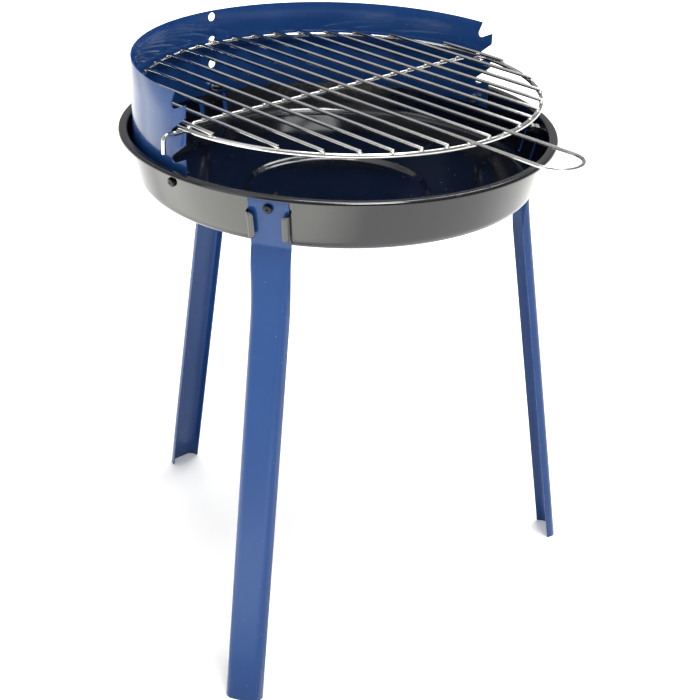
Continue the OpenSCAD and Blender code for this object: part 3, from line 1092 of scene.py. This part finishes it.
@dataclass
class Fastener:
    """Cross-recess pan head screws with real threads, and chamfered hexagon nuts."""

    bowl: FireBowl
    drop: float = 10.0 * MM
    head_radius: float = 3.8 * MM
    head_height: float = 2.6 * MM
    head_break: float = 0.15 * MM
    crown_drop: float = 0.25 * MM
    crown_end: float = 80.0
    crown_steps: int = 9
    crown_flat: Flat = (1.2 * MM, 0.04 * MM)
    neck: float = 0.2 * MM
    tip: Flat = (0.4 * MM, 0.5 * MM)
    thread_radius: float = 2.0 * MM
    thread_depth: float = 0.36 * MM
    thread_pitch: float = 0.7 * MM
    thread_fit: float = 0.03 * MM
    thread_start: float = 0.35 * MM
    thread_short: float = 2.2 * MM
    thread_steps: int = 24
    thread_corner: float = 20.0
    tooth_sunk: float = 0.06 * MM
    tooth_rows: tuple[float, ...] = (0.0, 0.28 * MM, 0.38 * MM, 0.66 * MM)
    recess_depth: float = 1.3 * MM
    recess_width: float = 1.1 * MM
    recess_length: float = 5.0 * MM
    recess_taper: float = 0.5
    nut_corner: float = 4.0415 * MM
    nut_height: float = 3.2 * MM
    chamfer: float = 0.42 * MM
    chamfer_from: float = 0.84
    chamfer_to: float = 1.02
    chamfer_sides: int = 48
    nut_smooth: float = 25.0
    sides: int = 40

    def build_screw(self, name: str, length: float) -> Piece:
        """Turns a screw along Z, with its head above the origin.

        Args:
            name: Name of the screw.
            length: Length under the head.

        Returns:
            The screw.
        """
        core, crown = self.thread_radius - self.thread_depth, self.head_height / 2.0
        line = [(0.0, -length), (core - self.tip[0], -length), (core, self.tip[1] - length),
                (core, -self.neck), (core + self.neck, 0.0),
                (self.head_radius - self.head_break, 0.0), (self.head_radius, self.head_break)]
        crown_middle = (self.head_radius - crown, self.head_height - crown - self.crown_drop)
        line += arc(crown_middle, crown, 0.0, self.crown_end, self.crown_steps)
        line += [(self.crown_flat[0], self.head_height - self.crown_flat[1]), (0.0, self.head_height)]
        screw = trace(name, [Vector((r, 0.0, z)) for r, z in line])
        spin_round(screw, ORIGIN, 360.0, self.sides)
        for turn in (0.0, 90.0):
            carve(screw, self.recess_tool(turn))
        smooth(screw)
        return joined(name, [screw, self.build_thread(core, length)])

    def recess_tool(self, turn: float) -> Piece:
        """Makes the tapered punch for one arm of the cross recess.

        Args:
            turn: Angle of the arm, in degrees.

        Returns:
            The punch.
        """
        clear_selection()
        bpy.ops.mesh.primitive_cube_add(size=1.0)
        tool = named("recess_punch")
        height = 2.0 * self.recess_depth
        settle(tool, turned(turn) @ Matrix.Translation((0.0, 0.0, self.head_height))
               @ Matrix.Diagonal((self.recess_length, self.recess_width, height, 1.0)))
        edit(tool)
        pick(Pick.FACE, lambda face: face.normal.z < -0.5)
        bpy.ops.transform.resize(value=(self.recess_taper, self.recess_taper, 1.0), center_override=ORIGIN)
        close_edit()
        return tool

    def build_thread(self, core: float, length: float) -> Piece:
        """Winds the thread's ridge round the core.

        Args:
            core: Radius of the core.
            length: Length of the screw under its head.

        Returns:
            The ridge.
        """
        root, crest = core - self.tooth_sunk, self.thread_radius - self.thread_fit
        tooth = zip((root, crest, crest, root), self.tooth_rows)
        start = self.thread_start - length
        ridge = trace("thread_ridge", [Vector((r, 0.0, start + z)) for r, z in tooth])
        turns = int((length - self.thread_short) / self.thread_pitch)
        modify(ridge, "SCREW", axis="Z", angle=math.tau, screw_offset=self.thread_pitch, iterations=turns,
               steps=self.thread_steps, render_steps=self.thread_steps, use_normal_calculate=True)
        smooth(ridge, self.thread_corner)
        return ridge

    def build_nut(self, name: str) -> Piece:
        """Makes a nut along Z, standing on the origin.

        Args:
            name: Name of the nut.

        Returns:
            The nut.
        """
        corner, top = self.nut_corner, self.nut_height
        nut = prism(name, [Vector((x, y, 0.0)) for x, y in polygon(corner, 6)], (0.0, 0.0, top))
        near, wide = self.chamfer_from * corner, self.chamfer_to * corner
        lens = [(0.0, 0.0), (near, 0.0), (wide, self.chamfer)]
        lens += [(r, top - z) for r, z in reversed(lens)]
        tool = trace("nut_lens", [Vector((r, 0.0, z)) for r, z in lens])
        spin_round(tool, ORIGIN, 360.0, self.chamfer_sides)
        carve(nut, tool, Cut.KEEP_SHARED)
        bore = polygon(self.thread_radius + self.thread_fit, self.thread_steps)
        carve(nut, prism("nut_bore", [Vector((x, y, -MM)) for x, y in bore], (0.0, 0.0, 2.0 * top)))
        smooth(nut, self.nut_smooth)
        return nut

    def seat(self, piece: Piece, station: Station, out: float) -> None:
        """Stands a screw or nut at a station on the wall, pointing outwards, with its foot off the wall."""
        frame_here = self.bowl.wall_frame(station.value, self.drop)
        settle(piece, frame_here @ Matrix.Translation((out, 0.0, 0.0)) @ turned(90.0, "Y"))


@dataclass
class Stand:
    """Everything that stands still: bowl, shield, legs and their screws and nuts."""

    store: Store
    bowl: FireBowl = field(default_factory=FireBowl)
    shield: WindShield = field(default_factory=WindShield)
    leg: Leg = field(default_factory=Leg)
    gap: float = 0.2 * MM
    leg_screw: float = 20.0 * MM
    shield_screw: float = 16.0 * MM
    nut_on_wall: float = 1.1 * MM
    nut_on_shield: float = 4.49728 * MM

    def build(self) -> None:
        """Builds and hands over the standing pieces."""
        self.store.hand_over(self.bowl.build(), ENAMEL, Body.STAND, Slot.ENAMEL, "fire_bowl")
        self.store.hand_over(self.shield.build(), BLUE_PAINT, Body.STAND, Slot.PAINT, "wind_shield")
        for station, piece in self.leg.build_all().items():
            self.store.hand_over(piece, BLUE_PAINT, Body.STAND, Slot.PAINT, station.name.lower())
        self.build_fasteners()

    def build_fasteners(self) -> None:
        """Builds one screw of each length and one nut, and copies them to their places."""
        maker = Fastener(self.bowl)
        long_screw = maker.build_screw("long_screw", self.leg_screw)
        short_screw = maker.build_screw("short_screw", self.shield_screw)
        first_nut = maker.build_nut("first_nut")
        for station in (*LEG_STATIONS, Station.SHIELD_LEFT, Station.SHIELD_RIGHT):
            kind, place = station.name.lower().split("_")
            on_leg = station in LEG_STATIONS
            screw = copy_of(long_screw if on_leg else short_screw, f"threaded_{kind}_screw_{place}")
            maker.seat(screw, station, self.gap + self.leg.sheet if on_leg else self.gap)
            self.store.hand_over(screw, DARK_STEEL, Body.STAND, Slot.DARK, f"{kind}_screw_{place}")
            nut = copy_of(first_nut, f"chamfered_{kind}_nut_{place}")
            on_wall = station in (Station.LEG_LEFT, Station.LEG_RIGHT)
            inside = self.nut_on_wall if on_wall else self.nut_on_shield
            maker.seat(nut, station, -inside - maker.nut_height)
            self.store.hand_over(nut, ZINC, Body.STAND, Slot.ZINC, f"{kind}_nut_{place}")
        for pattern in (long_screw, short_screw, first_nut):
            bpy.data.objects.remove(pattern)


@dataclass
class Grate:
    """The round wire grate: ring, crossbar, handle hairpin, wires and their welds."""

    store: Store
    ring_radius: float = 163.213 * MM
    ring_half: float = 2.0 * MM
    ring_height: float = 454.5 * MM
    ring_sides: int = 288
    joint_at: float = 68.0
    joint_reach: float = 2.8 * MM
    joint_bulge: float = 0.35 * MM
    wire_half: float = 1.5 * MM
    wire_height: float = 458.05 * MM
    wire_past: float = 0.5 * MM
    wires_each_side: int = 8
    pitch: float = 19.9642 * MM
    bar_half: float = 1.75 * MM
    bar_low: float = 450.7 * MM
    bar_high: float = 454.75 * MM
    high_at: float = 149.213 * MM
    low_at: float = 157.213 * MM
    hook_at: float = 177.963 * MM
    hook_radius: float = 4.0 * MM
    hook_drop: float = 14.0 * MM
    loop_at: float = 228.036 * MM
    loop_steps: int = 32
    pin_from: float = 165.263 * MM
    pin_tail: float = 2.0 * MM
    pin_to: float = 173.213 * MM
    end_break: float = 0.5 * MM
    end_corner: float = 60.0
    weld: Vector = field(default_factory=lambda: Vector((2.3 * MM, 1.9 * MM, 1.35 * MM)))
    weld_sides: tuple[int, int] = (14, 9)
    weld_rough: float = 0.10 * MM
    weld_waist: float = 0.3
    weld_swell: float = 1.12

    def build(self) -> None:
        """Builds and hands over the grate."""
        self.store.hand_over(self.build_ring(), CHROME, Body.GRATE, Slot.CHROME, "grate_ring")
        for name, node, line, radius in self.lines():
            self.store.hand_over(self.rod(name, line, radius), CHROME, Body.GRATE, Slot.CHROME, node)
        for name, spots in self.weld_rows().items():
            self.store.hand_over(self.build_welds(name, spots), WELD, Body.GRATE, Slot.CHROME)

    def at(self, x: float, y: float, z: float) -> Vector:
        """Gives a point by its distances from the bowl's axis and its height."""
        return AXIS + Vector((x, y, z))

    def half_span(self, x: float, past: float = 0.0) -> float:
        """Half of the length of a wire across the ring."""
        return math.sqrt((self.ring_radius + past) ** 2 - x * x)

    def rod(self, name: str, points: Sequence[Vector], radius: float) -> Piece:
        """Bends a round wire along a line, with its cut ends broken.

        Args:
            name: Name of the wire.
            points: Points along the middle of the wire.
            radius: Half of the wire's thickness.

        Returns:
            The wire as a mesh.
        """
        piece = trace(name, points)
        thicken_wire(piece, radius)
        soften(piece, self.end_break, corner=self.end_corner, rounds=3)
        return piece

    def build_ring(self) -> Piece:
        """Bends the ring and thickens its butt weld at the back.

        Returns:
            The ring.
        """
        clear_selection()
        bpy.ops.mesh.primitive_circle_add(vertices=self.ring_sides, radius=self.ring_radius)
        ring = named("grate_ring_wire")
        settle(ring, Matrix.Translation(self.at(0.0, 0.0, self.ring_height)))
        thicken_wire(ring, self.ring_half)
        edit(ring)
        turn = radians(self.joint_at)
        joint = self.at(self.ring_radius * cos(turn), self.ring_radius * sin(turn), self.ring_height)
        pick(Pick.VERT, lambda v: (v.co - joint).length < self.joint_reach)
        bpy.ops.transform.shrink_fatten(value=self.joint_bulge)
        close_edit()
        smooth(ring)
        return ring

    def lines(self) -> list[tuple[str, str, list[Vector], float]]:
        """Draws the crossbar with its hooked ends, the handle's hairpin, the straight wires and the rear pin.

        Returns:
            Name, node, points along the middle and half of the thickness of each wire.
        """
        hook = [(self.high_at, self.bar_high), (self.low_at, self.bar_low), (self.hook_at, self.bar_low),
                (self.hook_at, self.bar_low - self.hook_drop)]
        bar = [self.at(-x, 0.0, z) for x, z in reversed(hook)] + [self.at(x, 0.0, z) for x, z in hook]
        reach, thin = self.half_span(self.pitch, self.wire_past), self.wire_half
        loop = arc((0.0, -self.loop_at), self.pitch, 180.0, 360.0, self.loop_steps)
        pin = (self.pin_from, self.pin_to - self.pin_tail, self.pin_to)
        hairpin = [(-self.pitch, reach), *loop, (self.pitch, reach)]
        handle = [self.at(x, y, self.wire_height) for x, y in hairpin]
        lines = [
            ("grate_crossbar_rod", "grate_crossbar", rounded(bar, self.hook_radius), self.bar_half),
            ("grate_handle_hairpin", "grate_handle", handle, thin),
            ("straight_middle", "grate_middle_wire", self.straight(0.0), thin),
            ("grate_rear_pin", "grate_pin", [self.at(0.0, y, self.ring_height) for y in pin], thin)]
        for side, sign in (("left", -1.0), ("right", 1.0)):
            for place in range(1, self.wires_each_side):
                line = self.straight(sign * (place + 1) * self.pitch)
                lines.append((f"straight_{side}_{place}", f"wire_{side}_{place}", line, thin))
        return lines

    def straight(self, x: float) -> list[Vector]:
        """Points along a straight wire across the ring."""
        reach = self.half_span(x, self.wire_past)
        return [self.at(x, reach * share, self.wire_height) for share in (-1.0, -0.5, 0.0, 0.5, 1.0)]

    def build_nugget(self) -> Piece:
        """Makes one weld nugget: a flattened, uneven bead round the origin.

        Returns:
            The nugget.
        """
        clear_selection()
        around, up = self.weld_sides
        bpy.ops.mesh.primitive_uv_sphere_add(segments=around, ring_count=up, radius=1.0)
        nugget = named("weld_nugget")
        settle(nugget, Matrix.Diagonal((*self.weld, 1.0)))
        edit(nugget)
        bpy.ops.transform.vertex_random(offset=self.weld_rough, uniform=0.3, normal=0.7, seed=7)
        pick(Pick.VERT, lambda v: abs(v.co.z) < self.weld_waist * self.weld.z)
        bpy.ops.transform.resize(value=(self.weld_swell, self.weld_swell, 1.0), center_override=ORIGIN)
        close_edit()
        modify(nugget, "SUBSURF", levels=1, render_levels=1)
        smooth(nugget, self.end_corner)
        return nugget

    def build_welds(self, name: str, spots: Sequence[tuple[Vector, float]]) -> Piece:
        """Sets copies of the nugget on a row of crossings.

        Args:
            name: Name of the row.
            spots: Place and turn, in degrees, of each nugget.

        Returns:
            The row of welds as one piece.
        """
        first = self.build_nugget()
        row = [first] + [copy_of(first, f"{name}_{i}") for i in range(1, len(spots))]
        for piece, (place, turn) in zip(row, spots):
            settle(piece, Matrix.Translation(place) @ turned(turn))
        return joined(name, row)

    def weld_rows(self) -> dict[str, list[tuple[Vector, float]]]:
        """Finds where the wires cross the ring, and where the crossbar crosses the inner wires and the ring.

        Returns:
            Place and turn, in degrees, of each weld of each row.
        """
        most, low = self.wires_each_side, self.ring_height - self.ring_half
        rows = {}
        for name, side in (("welds_front", -1.0), ("welds_back", 1.0)):
            places = [i * self.pitch for i in range(-most, most + 1)]
            rows[name] = [(self.at(x, side * self.half_span(x), self.ring_height + self.ring_half),
                           -side * math.degrees(math.asin(x / self.ring_radius))) for x in places]
        crossings = [(i * self.pitch, self.bar_high + self.bar_half) for i in range(1 - most, most)]
        crossings += [(-self.ring_radius, low), (self.ring_radius, low)]
        rows["welds_crossbar"] = [(self.at(x, 0.0, z), 0.0) for x, z in crossings]
        return rows


@dataclass(frozen=True)
class SoftBox:
    """A square soft light: where it hangs, the length of its side and its power in watts."""

    name: str
    place: tuple[float, float, float]
    size: float
    power: float

    def hang(self, aim: Vector) -> None:
        """Hangs the light and points it at the grill.

        Args:
            aim: The point that it lights.
        """
        clear_selection()
        bpy.ops.object.light_add(type="AREA", location=self.place)
        lamp = bpy.context.object
        lamp.name = self.name
        lamp.data.size = self.size
        lamp.data.energy = self.power
        lamp.rotation_euler = (aim - Vector(self.place)).to_track_quat("-Z", "Y").to_euler()


@dataclass
class Studio:
    """Pale floor, soft light and the camera."""

    store: Store
    azimuth: float = -43.975
    elevation: float = 27.034
    roll: float = 2.153
    distance: float = 1228.02 * MM
    across: float = 16.14 * MM
    up: float = -186.47 * MM
    focal: float = 1492.68
    frame_side: float = 700.0
    sensor: float = 36.0
    clip_end: float = 50.0
    aim: Vector = field(default_factory=lambda: AXIS + Vector((0.0, 0.0, 425.0 * MM)))
    floor_radius: float = 30.0
    floor_sides: int = 96
    rim_width: float = 0.4
    rim_rise: float = 0.25
    lights: tuple[SoftBox, ...] = (SoftBox("top_softbox", (0.45, 0.30, 2.35), 0.8, 22.0),
                                   SoftBox("right_softbox", (1.36, 0.45, 2.10), 0.7, 10.0),
                                   SoftBox("front_softbox", (-0.30, -1.10, 2.70), 1.0, 55.0),
                                   SoftBox("left_softbox", (-2.00, 0.30, 1.30), 1.0, 5.0))
    front_wall: Band = (0.0, 0.5, 0.10, 0.32)
    back_wall: Band = (0.42, 0.62, 0.40, 0.65)
    wall_change: Band = (-0.3, 0.3, 0.0, 1.0)
    ceiling: Band = (0.78, 0.95, 0.0, 0.8)

    def build(self) -> None:
        """Sets up the floor, the light and the camera."""
        self.lay_floor()
        for light in self.lights:
            light.hang(self.aim)
        self.paint_room()
        self.stand_camera()
        bpy.context.scene.view_settings.view_transform = "Standard"

    def lay_floor(self) -> None:
        """Lays a round floor with a rim that curls up out of sight."""
        clear_selection()
        bpy.ops.mesh.primitive_circle_add(vertices=self.floor_sides, radius=self.floor_radius,
                                          fill_type="NGON")
        floor = named("studio_floor")
        edit(floor)
        bpy.ops.mesh.inset(thickness=self.rim_width)
        pick(Pick.VERT, lambda v: v.co.xy.length > self.floor_radius - self.rim_width / 2.0)
        bpy.ops.transform.translate(value=(0.0, 0.0, self.rim_rise))
        close_edit()
        smooth(floor)
        self.store.dress(floor, PaleFloor())

    def paint_room(self) -> None:
        """Lights the room: dim walls in front, brighter ones at the back and a bright ceiling."""
        world = bpy.data.worlds.new("white_room")
        world.use_nodes = True
        wiring = Wiring(world.node_tree)
        look = wiring.add("SeparateXYZ", wiring.add("TexCoord").outputs["Generated"]).outputs
        front = wiring.spread(look["Z"], self.front_wall)
        more = wiring.sum("SUBTRACT", wiring.spread(look["Z"], self.back_wall), front)
        change = wiring.spread(look["Y"], self.wall_change)
        walls = wiring.sum("ADD", front, wiring.sum("MULTIPLY", change, more))
        glow = wiring.sum("ADD", walls, wiring.spread(look["Z"], self.ceiling))
        light = wiring.add("Background", Color=(1.0, 1.0, 1.0, 1.0), Strength=glow)
        wiring.add("OutputWorld", Surface=light.outputs["Background"])
        bpy.context.scene.world = world

    def stand_camera(self) -> None:
        """Stands the camera at the angle and distance of the view to match."""
        turn = turned(self.azimuth) @ turned(90.0 - self.elevation, "X")
        away = Matrix.Translation((self.across, self.up, self.distance))
        clear_selection()
        bpy.ops.object.camera_add()
        camera = bpy.context.object
        camera.name = "view_camera"
        camera.data.sensor_width = self.sensor
        camera.data.lens = self.focal * self.sensor / self.frame_side
        camera.data.clip_end = self.clip_end
        camera.matrix_world = Matrix.Translation(self.aim) @ turn @ away @ turned(self.roll)
        bpy.context.scene.camera = camera


def main() -> None:
    """Builds the studio and every piece of the grill."""
    logging.basicConfig(level=logging.INFO, format="%(name)s: %(message)s")
    store = Store()
    for part in (Studio(store), Stand(store), Grate(store)):
        part.build()
    clear_selection()


if __name__ == "__main__":
    main()
